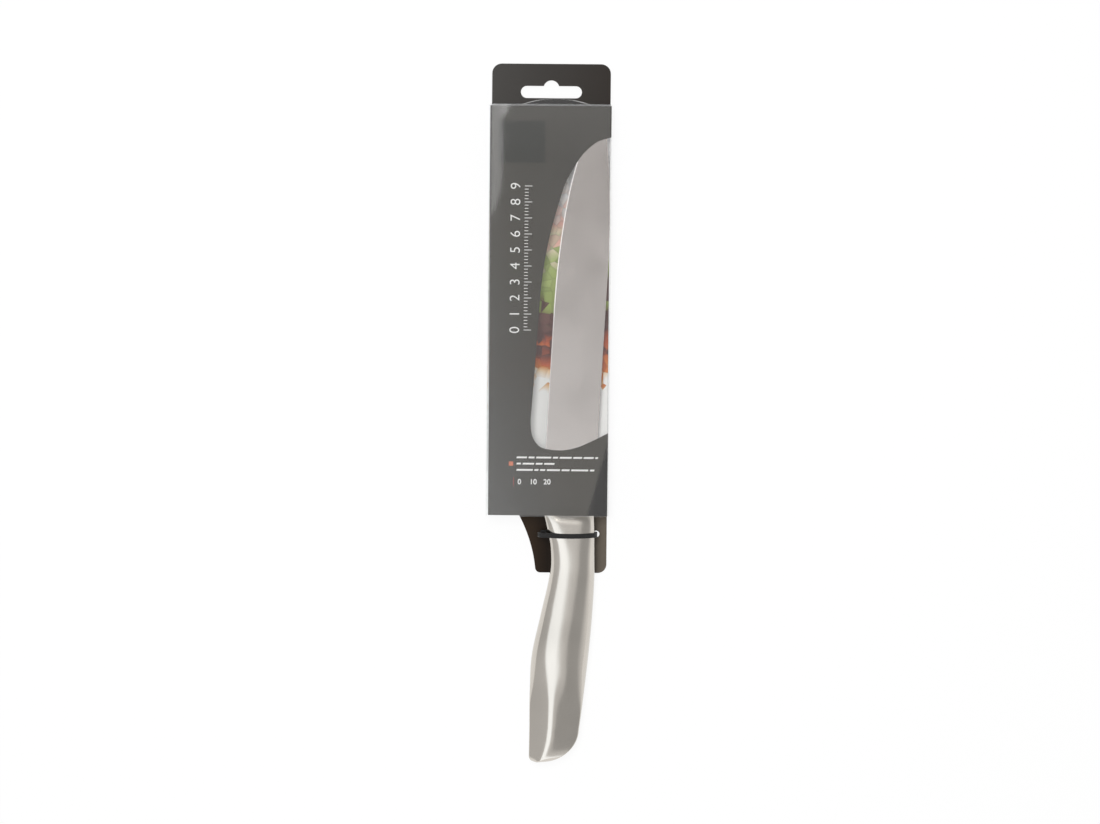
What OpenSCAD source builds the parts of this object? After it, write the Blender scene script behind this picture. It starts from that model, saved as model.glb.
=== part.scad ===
// Carving knife in its hanging retail pack.
// The pack lies on its back: +X is right and +Y is up on the pack's face, +Z is out of its face.
// The origin is the middle of the footprint, on the table. All sizes are millimetres.

/* [Blade] */
// Length of the blade from heel to tip
blade_len = 200; // [170:5:230]
// Height of the blade
blade_h = 26.3; // [24:0.1:28]
// Thickness of the blade along its spine
spine_t = 2; // [1.6:0.1:2.4]
// Thickness of the blade where the edge bevel starts
behind_edge_t = 0.4; // [0.3:0.1:1]
// Width of the ground bevel along the cutting edge
bevel_w = 0.5; // [0.4:0.1:1.5]
// Distance of the tip below the line of the spine
tip_drop = 6.1; // [4:0.1:9]
// Share of the blade that has a straight spine
spine_straight = 0.635; // [0.5:0.005:0.75]
// Share of the blade that has a straight edge
edge_straight = 0.5; // [0.4:0.005:0.65]
// Share of the spine's thickness that is lost towards the tip
distal_taper = 0.35; // [0:0.05:0.5]
// Length of the tang behind the heel
tang_len = 80; // [60:1:90]
// Width of the tang
tang_w = 12; // [8:0.5:14]
// Thickness of the tang
tang_t = 1.8; // [1.2:0.1:2.2]

/* [Handle] */
// Length of the handle and bolster behind the heel
handle_len = 129.5; // [120:0.5:140]
// Length of the bolster
bolster_len = 20; // [16:0.5:24]
// Thickness of the bolster where the blade starts
bolster_front_t = 4.8; // [3.6:0.1:6]
// Distance of the neck's narrowest point behind the heel
neck_pos = 33; // [28:0.5:36]
// Width of the neck
neck_w = 22.8; // [20:0.1:24]
// Thickness of the neck
neck_t = 15.5; // [14:0.1:16.5]
// Middle of the neck, measured across from the line of the spine
neck_mid = 8.85; // [8:0.05:10]
// Distance of the belly's widest point behind the heel
belly_pos = 76; // [70:0.5:84]
// Width of the belly
belly_w = 28.8; // [26:0.1:31]
// Thickness of the belly
belly_t = 20; // [18:0.1:22]
// Middle of the belly, measured across from the line of the spine
belly_mid = 12.6; // [12:0.1:14]
// Length of the part that curves in to the butt
butt_len = 17.5; // [16:0.5:22]
// Width of the handle where the butt curve starts
end_w = 25.3; // [23:0.1:27]
// Thickness of the handle where the butt curve starts
end_t = 18.6; // [17:0.1:20]
// Middle of the handle where the butt curve starts
end_mid = 13.3; // [12:0.1:15]
// Furthest point of the butt, measured across from the line of the spine
butt_peak = 21.2; // [19:0.1:23]
// Length of the butt cap
cap_len = 11.5; // [8:0.5:15]
// Wall of the handle shells
shell_wall = 1; // [0.8:0.1:1.4]
// Length of the filler round the tang
filler_len = 72; // [66:1:80]

/* [Card] */
// Width of the backing card
card_w = 61; // [58:0.5:70]
// Thickness of the backing card
card_t = 0.6; // [0.4:0.1:0.8]
// Height of the header above the sleeve
header_h = 23.5; // [22:0.5:32]
// Length of the card below the sleeve
tab_len = 29.4; // [24:0.2:36]
// Width of the card at its lower end
tab_w = 36.6; // [34:0.2:40]
// Radius of the card's top corners
corner_r = 5; // [2:0.5:8]
// Radius of the card's lower right corner
foot_r = 4.5; // [2:0.5:6]
// Radius of the card's lower left corner
tab_r = 2.6; // [1.5:0.1:4]
// Distance above the sleeve's lower end at which the card starts to narrow
taper_rise = 20.4; // [16:0.2:26]
// Distance of the printed insert from the card's edges
insert_margin = 0.1; // [0.1:0.1:3]
// Thickness of the printed insert
insert_t = 0.15; // [0.1:0.05:0.3]
// Width of the hang slot
slot_w = 31.4; // [26:0.2:34]
// Height of the hang slot
slot_h = 6.3; // [5:0.1:8]
// Distance from the card's top edge to the middle of the slot
slot_drop = 14.5; // [12:0.1:16]
// Width of the round notch above the slot
notch_w = 8.2; // [6:0.2:10]
// Height of the round notch above the slot
notch_h = 2.9; // [2:0.1:4]

/* [Sleeve] */
// Thickness of the clear plastic sheet
sheet_t = 0.3; // [0.2:0.05:0.4]
// Gap between the card's edges and the side walls
card_gap = 0.3; // [0.3:0.05:0.8]
// Gap between the tip and the lid
tip_gap = 4.8; // [3:0.1:8]
// Length of the sleeve below the heel
heel_cover = 3.4; // [2:0.1:5]
// Gap between the neck and the inside of the front
front_gap = 1.95; // [1:0.05:4]
// Gap between the spine and the right wall
spine_gap = 0.3; // [0.3:0.05:1]
// Thickness of the printed film behind the front
film_t = 0.1; // [0.05:0.05:0.2]
// Margin of the printed film
film_margin = 0.7; // [0.5:0.1:1.5]
// Distance of the window's upper end below the sleeve's upper end
window_drop = 16.5; // [10:0.5:24]
// Distance of the window's foot above the heel
window_rise = 30.2; // [24:0.2:40]
// Distance of the window's side from the blade's edge
window_side = 13.3; // [10:0.1:16]
// Width of the glue flap
flap_w = 12; // [8:0.5:16]
// Width of the thumb lip on the front's lower edge
lip_w = 17; // [12:0.5:22]
// Height of the thumb lip
lip_h = 1.3; // [0.8:0.1:2.5]
// Distance of the thumb lip's middle to the left of the spine
lip_left = 15; // [12:0.5:20]
// Gap round the lid
lid_gap = 0.3; // [0.3:0.05:0.6]
// Width of the lid's tongue
tongue_w = 47; // [40:0.5:54]
// Gap between the lid's tongue and the hang slot above it
tongue_gap = 0.25; // [0.1:0.05:1.5]
// Distance of the tongue's middle to the right of the card's middle
tongue_right = 2.5; // [-4:0.5:4]

/* [Tie] */
// Width of the strap
strap_w = 2.4; // [2:0.1:2.6]
// Thickness of the strap
strap_t = 1; // [0.8:0.1:1.2]
// Distance of the strap behind the heel
tie_pos = 12.8; // [11:0.1:15]
// Gap between the strap and what passes through it
tie_gap = 0.4; // [0.35:0.05:0.8]
// How far the strap sags across the neck
tie_sag = 0.5; // [0:0.1:1]
// Diameter of the strap's holes in the card
hole_d = 3.4; // [3.2:0.1:4]
// Width of the tie's head
head_w = 3.2; // [2.8:0.1:4]
// Length of the tie's head
head_l = 4; // [3.6:0.1:5]
// Height of the tie's head
head_h = 4.2; // [3:0.1:5]

/* [Placing] */
// Angle between the knife and the pack
knife_tilt = 2.92; // [2:0.02:3.4]
// Gap between the neck and the printed insert under it
neck_rest = 0.3; // [0.3:0.05:1]
// Gap between the table and the back of the strap
table_gap = 0.1; // [0.05:0.05:0.3]

/* [Hidden] */

round_fn = 64;
arch_fn = 180;
straight_steps = 8;
blade_steps = 22;
bolster_steps = 10;
shoulder_finer = 1.6;
shell_steps = 40;
cap_steps = 10;
half_ring = 16;
filler_steps = 20;
butt_sweep = 86.4;

// Small clearances, and the thickness of the cutting edge itself
edge_t = 0.1;
filler_gap = 0.15;
tang_gap = 0.1;
head_slot_gap = 0.05;

// Fine shape of the blade and of the handle
thin_h = 8;
tip_power = 1.9;
tip_sweep = 88.5;
tang_rise = 3.15;
throat_rise = 0.75;
throat_thin = 0.4;
butt_power = 2;
butt_round_power = 6;
butt_corner_r = 3;
butt_taper = 0.6;

// Blade profile: u runs from the heel to the tip, v from the spine's line to the edge
spine_end_u = spine_straight * blade_len;
edge_end_u = edge_straight * blade_len;
edge_curve_u = blade_len - edge_end_u;

function spine_v(u) =
    u > spine_end_u ? tip_drop * pow((u - spine_end_u) / (blade_len - spine_end_u), tip_power) : 0;

function edge_v(u) =
    u > edge_end_u
        ? tip_drop + (blade_h - tip_drop) * sqrt(1 - pow((u - edge_end_u) / edge_curve_u, 2))
        : blade_h;

blade_stations = concat(
    [for (k = [0:straight_steps - 1]) edge_end_u * k / straight_steps],
    [for (k = [0:blade_steps]) edge_end_u + edge_curve_u * sin(tip_sweep * k / blade_steps)]
);

// Handle profile, each row: distance behind the heel, middle, half width, half thickness, roundness
front_row = [0, blade_h / 2, blade_h / 2, bolster_front_t / 2, 6];
throat_row = [bolster_len, neck_mid + throat_rise, neck_w / 2, neck_t / 2 - throat_thin, 2.8];
neck_row = [neck_pos, neck_mid, neck_w / 2, neck_t / 2, 2.5];
belly_row = [belly_pos, belly_mid, belly_w / 2, belly_t / 2, 2.2];
end_pos = handle_len - butt_len;
end_row = [end_pos, end_mid, end_w / 2, end_t / 2, 2.2];

// Shoulder of the bolster, each row: share of its length, share of the throat's thickness, roundness
shoulder_bow = 0.8;
shoulder_marks = [[0.1, 0.64, 5.2], [0.25, 0.83, 4.6], [0.5, 0.918, 3.8]];
shoulder_rows = [
    for (m = shoulder_marks)
        let (s = m[0], between = front_row * (1 - s) + throat_row * s)
        [between[0], between[1] - shoulder_bow * s * (1 - s), between[2], throat_row[3] * m[1], m[2]]
];

// How far the rows between these lie from the mean of their neighbours
upper_ease = [0, -0.2, 0.2, 0, -0.05];
lower_ease = [0, 0.15, 0.25, 0.1, 0];
grip_rows = concat(
    [front_row], shoulder_rows,
    [
        throat_row, neck_row,
        (neck_row + belly_row) / 2 + upper_ease, belly_row,
        (belly_row + end_row) / 2 + lower_ease, end_row
    ]
);

function row_at(k, d, i = 0) = i >= len(k) - 2 || d < k[i + 1][0] ? i : row_at(k, d, i + 1);

function row_slope(k, i, c) =
    let (a = max(i - 1, 0), b = min(i + 1, len(k) - 1))
    (k[b][c] - k[a][c]) / (k[b][0] - k[a][0]);

// Smooth curve through the rows of k, read at distance d in column c
function spline(k, d, c) =
    let (i = row_at(k, d), h = k[i + 1][0] - k[i][0], t = (d - k[i][0]) / h)
    (2 * t * t * t - 3 * t * t + 1) * k[i][c] + (t * t * t - 2 * t * t + t) * h * row_slope(k, i, c)
    + (3 * t * t - 2 * t * t * t) * k[i + 1][c] + (t * t * t - t * t) * h * row_slope(k, i + 1, c);

function butt_share(d) = (d - end_pos) / butt_len;
function squircle(s, p) = pow(max(1 - pow(s, p), 0), 1 / p);

// The spine side, the edge side and the half thickness of the handle at distance d behind the heel
end_low = end_mid - end_w / 2;
end_high = end_mid + end_w / 2;
corner_high = end_high - butt_taper;
corner_pos = handle_len - butt_corner_r;

function grip_low(d) =
    d <= end_pos ? spline(grip_rows, d, 1) - spline(grip_rows, d, 2)
        : butt_peak - (butt_peak - end_low) * squircle(butt_share(d), butt_power);

function grip_high(d) =
    d <= end_pos ? spline(grip_rows, d, 1) + spline(grip_rows, d, 2)
        : d <= corner_pos ? end_high - (end_high - corner_high) * (d - end_pos) / (corner_pos - end_pos)
        : corner_high - butt_corner_r + sqrt(max(pow(butt_corner_r, 2) - pow(d - corner_pos, 2), 0));

function grip_thick(d) =
    d <= end_pos ? spline(grip_rows, d, 3) : end_t / 2 * squircle(butt_share(d), butt_round_power);

function grip_power(d) = spline(grip_rows, min(d, end_pos), 4);

function bend(x, p) = sign(x) * pow(abs(x), 2 / p);

// Behind the belly the faces flatten and meet in a rounded ridge. Its height is a share of the half
// thickness, read at a share q of the half width, from -1 at the spine side to 1 at the edge side.
ridge_start = 2;
ridge_grow = 28;
ridge_at = 0.16;
ridge_round = 0.16;
ridge_peak = 0.85;
fall_edge = 0.6;
fall_spine = 0.32;
side_power = 4;
join_power = 6;
ridge_tries = 40;

function fall(x) = (x + norm([x, ridge_round])) / 2;
function ridge(q) =
    let (
        g = ridge_peak - fall_edge * fall(q - ridge_at) - fall_spine * fall(ridge_at - q),
        s = squircle(abs(q), side_power)
    )
    s * g / pow(pow(s, join_power) + pow(g, join_power), 1 / join_power);
ridge_top = max([for (k = [-ridge_tries:ridge_tries]) ridge(k / ridge_tries)]);

function ridge_share(d) =
    let (t = max(0, min(1, (d - belly_pos - ridge_start) / ridge_grow))) t * t * (3 - 2 * t);

function grip_face(d, q) =
    let (w = ridge_share(d)) (1 - w) * squircle(abs(q), grip_power(d)) + w * ridge(q) / ridge_top;

// One point of the handle's section at distance d and angle a, drawn in by a wall
function grip_point(d, a, wall = 0) =
    let (low = grip_low(d), high = grip_high(d), q = bend(cos(a), grip_power(d)))
    [
        -d,
        (low + high) / 2 + ((high - low) / 2 - wall) * q,
        (grip_thick(d) - wall) * grip_face(d, q) * sign(sin(a))
    ];

shell_end = handle_len - cap_len;
shell_stations = [
    for (k = [shell_steps:-1:0]) bolster_len + (shell_end - bolster_len) * k / shell_steps
];
grip_max = max([for (d = shell_stations) grip_thick(d)]);

// Where the knife and the pack meet
card_z = table_gap + strap_t;
card_top_z = card_z + card_t;
knife_z = max(grip_max, card_top_z + insert_t + neck_rest + neck_t / 2);
sleeve_d = knife_z + neck_t / 2 + front_gap + sheet_t;
inner_w = card_w + 2 * card_gap;
sleeve_w = inner_w + 2 * sheet_t;
spine_reach = max([for (u = blade_stations) u * sin(knife_tilt) - spine_v(u) * cos(knife_tilt)]);
knife_x = inner_w / 2 - spine_gap - spine_reach;

// Heights on the pack's face are counted from the heel, then moved so that the origin is the middle
tip_rise = blade_len * cos(knife_tilt) + tip_drop * sin(knife_tilt);
sleeve_rise = tip_rise + tip_gap + sheet_t;
card_rise = sleeve_rise + header_h;
butt_stations = [for (k = [0:cap_steps]) end_pos + butt_len * sin(butt_sweep * k / cap_steps)];
butt_drop = max([for (d = butt_stations) d * cos(knife_tilt) - grip_high(d) * sin(knife_tilt)]);
heel_y = (butt_drop - card_rise) / 2;
sleeve_top = heel_y + sleeve_rise;
sleeve_bottom = heel_y - heel_cover;
sleeve_len = sleeve_top - sleeve_bottom;
card_top = heel_y + card_rise;
card_bottom = sleeve_bottom - tab_len;
slot_y = card_top - slot_drop;
tongue_h = slot_y - slot_h / 2 - tongue_gap - sleeve_top;

// The tie's loop, seen along the knife: it leans from the left hole out to the left side, then
// arches over the neck and comes straight down to the right hole
tie_lean = 2.5;
lean_share = 0.6;
lean_end = 3;
side_end = 1.3;
shoulder = 1.5;
arch_left_r = 11;
arch_right_r = 7;
turn_r = 0.8;
head_clear = 0.2;
left_steps = 7;
right_steps = 6;
turn_steps = 3;
tie_y = heel_y - tie_pos * cos(knife_tilt);
tie_spine_x = knife_x - tie_pos * sin(knife_tilt);
strap_clear = tie_gap + strap_t / 2;
tie_right = tie_spine_x - grip_low(tie_pos) + strap_clear;
tie_left = tie_spine_x - blade_h - strap_clear;
tie_hole_left = tie_left + tie_lean;
tie_reach = strap_w / 2 + tie_sag + (tie_spine_x - tie_left - arch_left_r) * sin(knife_tilt);
tie_top_z = knife_z + grip_thick(tie_pos + tie_reach) + strap_clear;
tie_back_z = table_gap + strap_t / 2;
head_top_z = card_top_z + head_h;
arch_h = tie_top_z - knife_z - shoulder;

function arc(cx, cy, rx, ry, a0, a1, n) =
    [for (k = [0:n]) let (a = a0 + (a1 - a0) * k / n) [cx + rx * cos(a), cy + ry * sin(a)]];

loop_path = concat(
    [[tie_hole_left, card_top_z], [tie_hole_left, head_top_z + head_clear]],
    [[tie_left + tie_lean * lean_share, knife_z - lean_end], [tie_left, knife_z - side_end]],
    arc(tie_left + arch_left_r, knife_z + shoulder, arch_left_r, arch_h, 180, 90, left_steps),
    arc(tie_right - arch_right_r, knife_z + shoulder, arch_right_r, arch_h, 90, 0, right_steps),
    [[tie_right, card_top_z]],
    arc(tie_right - turn_r, tie_back_z + turn_r, turn_r, turn_r, 0, -90, turn_steps),
    arc(tie_hole_left + turn_r, tie_back_z + turn_r, turn_r, turn_r, -90, -180, turn_steps)
);

// Solid through a list of rings of equal length, closed at both ends
module loft(rings) {
    m = len(rings[0]);
    n = len(rings);
    sides = [
        for (i = [0:n - 2]) for (j = [0:m - 1])
            let (a = i * m + j, b = i * m + (j + 1) % m)
            each [[a, b + m, b], [a, a + m, b + m]]
    ];
    last = (n - 1) * m;
    ends = [for (j = [1:m - 2]) each [[0, j, j + 1], [last, last + j + 1, last + j]]];
    polyhedron(points = [for (r = rings) each r], faces = concat(sides, ends), convexity = 6);
}

// Half shell between an outer and an inner surface, side = 1 for the front and -1 for the back
module half_shell(stations, side) {
    m = 2 * (half_ring + 1);
    n = len(stations);
    rings = [
        for (d = stations) concat(
            [for (j = [0:half_ring]) grip_point(d, side * 180 * j / half_ring)],
            [for (j = [half_ring:-1:0]) grip_point(d, side * 180 * j / half_ring, shell_wall)]
        )
    ];
    function turned(f) = side > 0 ? [f[0], f[2], f[1]] : f;
    sides = [
        for (i = [0:n - 2]) for (j = [0:m - 1])
            let (a = i * m + j, b = i * m + (j + 1) % m)
            each [turned([a, b, b + m]), turned([a, b + m, a + m])]
    ];
    last = (n - 1) * m;
    ends = [
        for (j = [0:half_ring - 1])
            let (a = j, b = j + 1, c = m - 2 - j, d = m - 1 - j)
            each [
                turned([a, c, b]), turned([a, d, c]),
                turned([last + a, last + b, last + c]), turned([last + a, last + c, last + d])
            ]
    ];
    polyhedron(points = [for (r = rings) each r], faces = concat(sides, ends), convexity = 8);
}

function full_ring(d, wall = 0) =
    [for (j = [0:2 * half_ring - 1]) grip_point(d, 180 * j / half_ring, wall)];

// Puts a shape drawn along the knife at its place in the pack
module on_knife() {
    translate([knife_x, heel_y, knife_z]) rotate([0, 0, 90 - knife_tilt]) children();
}

module tang(gap = 0) {
    translate([-tang_len - gap, neck_mid + tang_rise - tang_w / 2 - gap, -tang_t / 2 - gap])
        cube([tang_len + gap, tang_w + 2 * gap, tang_t + 2 * gap]);
}

module blade() {
    color([0.72, 0.70, 0.67]) on_knife() union() {
        loft([
            for (u = blade_stations)
                let (
                    low = spine_v(u),
                    high = edge_v(u),
                    thin = min(1, (high - low) / thin_h),
                    back = spine_t / 2 * (1 - distal_taper * u / blade_len) * thin,
                    front = behind_edge_t / 2 * thin,
                    tip = edge_t / 2 * thin,
                    bevel = high - bevel_w * thin
                )
                [
                    [u, low, back], [u, low, -back], [u, bevel, -front],
                    [u, high, -tip], [u, high, tip], [u, bevel, front]
                ]
        ]);
        tang();
    }
}

module bolster() {
    color([0.75, 0.74, 0.71]) on_knife() difference() {
        loft([
            for (k = [bolster_steps:-1:0]) full_ring(bolster_len * pow(k / bolster_steps, shoulder_finer))
        ]);
        tang(tang_gap);
    }
}

module handle_front_shell() {
    color([0.78, 0.77, 0.74]) on_knife() half_shell(shell_stations, 1);
}

module handle_back_shell() {
    color([0.74, 0.73, 0.70]) on_knife() half_shell(shell_stations, -1);
}

module tang_filler() {
    wall = shell_wall + filler_gap;
    color([0.45, 0.44, 0.42]) on_knife() difference() {
        loft([for (k = [filler_steps:-1:0]) full_ring(bolster_len + filler_len * k / filler_steps, wall)]);
        tang(tang_gap);
    }
}

module butt_cap() {
    start = asin(butt_share(shell_end));
    color([0.70, 0.69, 0.66]) on_knife() loft([
        for (k = [cap_steps:-1:0])
            full_ring(end_pos + butt_len * sin(start + (butt_sweep - start) * k / cap_steps))
    ]);
}

// Outline of the card: rounded header, straight right side and a lower tab that narrows to the left
// along a curve, which starts in from the left edge and is pulled towards a point beside the tab
taper_in = 1.5;
taper_step = 2;
taper_pull = [-2.6, -2.5];
taper_steps = 16;
tab_start = 190;
tab_steps = 5;
corner_steps = 8;

module card_outline() {
    left = -card_w / 2;
    right = card_w / 2;
    foot = right - tab_w;
    taper_top = sleeve_bottom + taper_rise;
    pull_x = foot + taper_pull[0];
    pull_y = sleeve_bottom + taper_pull[1];
    foot_y = card_bottom + tab_r;
    taper = [
        for (k = [0:taper_steps])
            let (t = k / taper_steps)
            [
                (1 - t) * (1 - t) * (left + taper_in) + 2 * t * (1 - t) * pull_x + t * t * foot,
                (1 - t) * (1 - t) * taper_top + 2 * t * (1 - t) * pull_y + t * t * foot_y
            ]
    ];
    polygon(concat(
        [[left, taper_top + taper_step]],
        taper,
        arc(foot + tab_r, foot_y, tab_r, tab_r, tab_start, 270, tab_steps),
        arc(right - foot_r, card_bottom + foot_r, foot_r, foot_r, -90, 0, corner_steps),
        arc(right - corner_r, card_top - corner_r, corner_r, corner_r, 0, 90, corner_steps),
        arc(left + corner_r, card_top - corner_r, corner_r, corner_r, 90, 180, corner_steps)
    ));
}

module hang_slot() {
    straight = slot_w / 2 - slot_h / 2;
    for (s = [-1, 1]) translate([s * straight, slot_y]) circle(d = slot_h, $fn = round_fn);
    translate([-straight, slot_y - slot_h / 2]) square([2 * straight, slot_h]);
    translate([0, slot_y + slot_h / 2 + notch_h - notch_w / 2]) circle(d = notch_w, $fn = round_fn);
}

module backing_card() {
    color([0.13, 0.11, 0.10]) translate([0, 0, card_z]) linear_extrude(card_t) difference() {
        card_outline();
        hang_slot();
        for (x = [tie_hole_left, tie_right]) translate([x, tie_y]) circle(d = hole_d, $fn = round_fn);
    }
}

// The insert covers the card inside the sleeve, and narrows with it
module picture_insert() {
    half = card_w / 2 - insert_margin;
    color([0.60, 0.42, 0.34]) translate([0, 0, card_top_z]) linear_extrude(insert_t) intersection() {
        translate([-half, sleeve_bottom + insert_margin])
            square([2 * half, sleeve_len - 2 * insert_margin]);
        card_outline();
    }
}

module tie_strap() {
    n = len(loop_path);
    function sag(p) =
        p[1] > knife_z ? tie_sag * sin(180 * max(0, min(1, (p[0] - tie_left) / (tie_right - tie_left)))) : 0;
    function along(i) =
        let (a = loop_path[(i + n - 1) % n], b = loop_path[(i + 1) % n], d = b - a) d / norm(d);
    points = [
        for (i = [0:n - 1])
            let (p = loop_path[i], t = along(i), o = [t[1], -t[0]] * strap_t / 2, y = tie_y - sag(p))
            each [
                [p[0] + o[0], y - strap_w / 2, p[1] + o[1]], [p[0] + o[0], y + strap_w / 2, p[1] + o[1]],
                [p[0] - o[0], y + strap_w / 2, p[1] - o[1]], [p[0] - o[0], y - strap_w / 2, p[1] - o[1]]
            ]
    ];
    faces = [
        for (i = [0:n - 1]) for (j = [0:3])
            let (a = i * 4 + j, b = i * 4 + (j + 1) % 4, c = ((i + 1) % n) * 4 + (j + 1) % 4,
                d = ((i + 1) % n) * 4 + j)
            each [[a, c, b], [a, d, c]]
    ];
    color([0.09, 0.09, 0.09]) polyhedron(points = points, faces = faces, convexity = 6);
}

module tie_head() {
    slot = [strap_t + 2 * head_slot_gap, strap_w + 2 * head_slot_gap];
    color([0.08, 0.08, 0.08]) translate([tie_hole_left, tie_y, card_top_z])
        linear_extrude(head_h) difference() {
            square([head_w, head_l], center = true);
            square(slot, center = true);
        }
}

// The front's upper edge is a round crease, which the lid swings about
crease_y = sleeve_top - sheet_t / 2;
crease_z = sleeve_d - sheet_t / 2;

// The thumb lip is the part of a circle that reaches below the front's lower edge
module front_panel() {
    lip_r = (lip_w * lip_w / 4 + lip_h * lip_h) / (2 * lip_h);
    lip_x = tie_spine_x - lip_left;
    color([0.85, 0.87, 0.88, 0.3]) union() {
        translate([0, 0, sleeve_d - sheet_t]) linear_extrude(sheet_t) union() {
            translate([-sleeve_w / 2, sleeve_bottom]) square([sleeve_w, crease_y - sleeve_bottom]);
            intersection() {
                translate([lip_x, sleeve_bottom - lip_h + lip_r]) circle(r = lip_r, $fn = arch_fn);
                translate([lip_x - lip_w, sleeve_bottom - 2 * lip_h]) square([2 * lip_w, 3 * lip_h]);
            }
        }
        translate([-sleeve_w / 2, crease_y, crease_z]) rotate([0, 90, 0])
            cylinder(d = sheet_t, h = sleeve_w, $fn = round_fn);
    }
}

module back_panel() {
    color([0.85, 0.87, 0.88, 0.3])
        translate([-sleeve_w / 2, sleeve_bottom, 0]) cube([sleeve_w, sleeve_len, sheet_t]);
}

module side_wall(side) {
    translate([side > 0 ? inner_w / 2 : -sleeve_w / 2, sleeve_bottom, sheet_t])
        cube([sheet_t, sleeve_len, sleeve_d - 2 * sheet_t]);
}

module left_panel() {
    color([0.85, 0.87, 0.88, 0.3]) side_wall(-1);
}

module right_panel() {
    color([0.85, 0.87, 0.88, 0.3]) side_wall(1);
}

flap_margin = 3;

module glue_flap() {
    color([0.85, 0.87, 0.88, 0.3]) translate([-inner_w / 2, sleeve_bottom + flap_margin, sheet_t])
        cube([flap_w, sleeve_len - 2 * flap_margin, sheet_t]);
}

// Clear window in the print, each point: share of its width from the right wall, share of its height
window_marks = [
    [0, 1], [0.174, 0.986], [0.336, 0.953], [0.448, 0.915], [0.547, 0.872], [0.622, 0.825],
    [0.776, 0.685], [0.871, 0.545], [0.92, 0.385], [0.955, 0.25], [0.99, 0.13], [1, 0.09],
    [0.983, 0.05], [0.92, 0.02], [0.821, 0.005], [0.597, 0], [0.398, 0.01], [0.199, 0.032], [0, 0.057]
];
window_bottom = heel_y + window_rise;
window_top = sleeve_top - window_drop;
window_w = blade_h + window_side;
window_past_edge = 5;
window_steps = 4;

function between(p, i, t) =
    let (a = p[max(i - 1, 0)], b = p[i], c = p[i + 1], d = p[min(i + 2, len(p) - 1)])
    0.5 * (2 * b + (c - a) * t + (2 * a - 5 * b + 4 * c - d) * t * t + (3 * b - a - 3 * c + d) * t * t * t);

window_outline = [
    for (i = [0:len(window_marks) - 2]) for (k = [0:window_steps - 1])
        let (m = between(window_marks, i, k / window_steps))
        [inner_w / 2 - m[0] * window_w, window_bottom + m[1] * (window_top - window_bottom)]
];

module front_print() {
    half = sleeve_w / 2 - film_margin;
    last = window_outline[len(window_outline) - 1];
    color([0.33, 0.33, 0.34, 0.85]) translate([0, 0, sleeve_d - sheet_t - film_t])
        linear_extrude(film_t) difference() {
            translate([-half, sleeve_bottom + film_margin]) square([2 * half, sleeve_len - 2 * film_margin]);
            polygon(concat(
                window_outline,
                [[inner_w / 2 + window_past_edge, last[1]], [inner_w / 2 + window_past_edge, window_top]]
            ));
        }
}

lid_back_z = card_top_z + insert_t + lid_gap;
lid_front_z = sleeve_d - sheet_t - lid_gap;

module lid_panel() {
    color([0.85, 0.87, 0.88, 0.3])
        translate([-inner_w / 2 + lid_gap, sleeve_top - sheet_t, lid_back_z])
        cube([inner_w - 2 * lid_gap, sheet_t, lid_front_z - lid_back_z]);
}

// The tongue is the part of a circle that reaches above the lid
module lid_tongue() {
    tongue_r = (tongue_w * tongue_w / 4 + tongue_h * tongue_h) / (2 * tongue_h);
    color([0.85, 0.87, 0.88, 0.3]) translate([0, 0, lid_back_z]) linear_extrude(sheet_t) intersection() {
        translate([tongue_right, sleeve_top + tongue_h - tongue_r]) circle(r = tongue_r, $fn = arch_fn);
        translate([tongue_right - tongue_w, sleeve_top]) square([2 * tongue_w, 2 * tongue_h]);
    }
}

blade();
bolster();
handle_front_shell();
handle_back_shell();
tang_filler();
butt_cap();
backing_card();
picture_insert();
tie_strap();
tie_head();
front_panel();
back_panel();
left_panel();
right_panel();
glue_flap();
front_print();
lid_panel();
lid_tongue();
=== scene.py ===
import math

import bmesh
import bpy
from mathutils import Matrix, Vector


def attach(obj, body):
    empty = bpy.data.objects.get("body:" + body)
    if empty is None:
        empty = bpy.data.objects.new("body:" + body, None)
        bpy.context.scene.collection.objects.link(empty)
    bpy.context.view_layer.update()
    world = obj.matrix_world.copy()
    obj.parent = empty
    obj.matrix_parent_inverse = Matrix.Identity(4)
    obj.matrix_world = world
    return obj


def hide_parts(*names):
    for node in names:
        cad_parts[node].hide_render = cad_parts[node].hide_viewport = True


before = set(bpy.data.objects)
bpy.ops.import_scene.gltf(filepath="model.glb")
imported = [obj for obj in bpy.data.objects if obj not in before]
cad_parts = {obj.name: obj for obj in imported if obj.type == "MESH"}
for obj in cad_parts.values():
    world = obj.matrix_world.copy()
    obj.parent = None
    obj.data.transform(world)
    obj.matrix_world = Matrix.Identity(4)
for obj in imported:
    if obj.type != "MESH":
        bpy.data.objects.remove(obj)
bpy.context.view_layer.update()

# The table, its light and the camera. A pale table stands under the pack, which lies on its back.
# A tent of soft light is brighter in a wide band to the left and towards its far end. One large lamp
# lights the table, two small ones glint on the sleeve's upper left, and the camera looks down.
mm = 0.001


def node(tree, kind, inputs=(), **settings):
    made = tree.nodes.new(kind)
    for key, value in settings.items():
        setattr(made, key, value)
    for key, value in dict(inputs).items():
        if isinstance(value, bpy.types.NodeSocket):
            tree.links.new(value, made.inputs[key])
        else:
            made.inputs[key].default_value = value
    return made


def ramp(tree, share, stops, kind="LINEAR"):
    """Colours along share: each stop is a place from 0 to 1 and a colour or a grey."""
    made = node(tree, "ShaderNodeValToRGB", {"Fac": share})
    band = made.color_ramp
    band.interpolation = kind
    while len(band.elements) < len(stops):
        band.elements.new(0.5)
    for element, (place, tone) in zip(band.elements, stops):
        element.position = place
        element.color = (*((tone,) * 3 if isinstance(tone, float) else tone), 1.0)
    return made.outputs["Color"]


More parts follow.
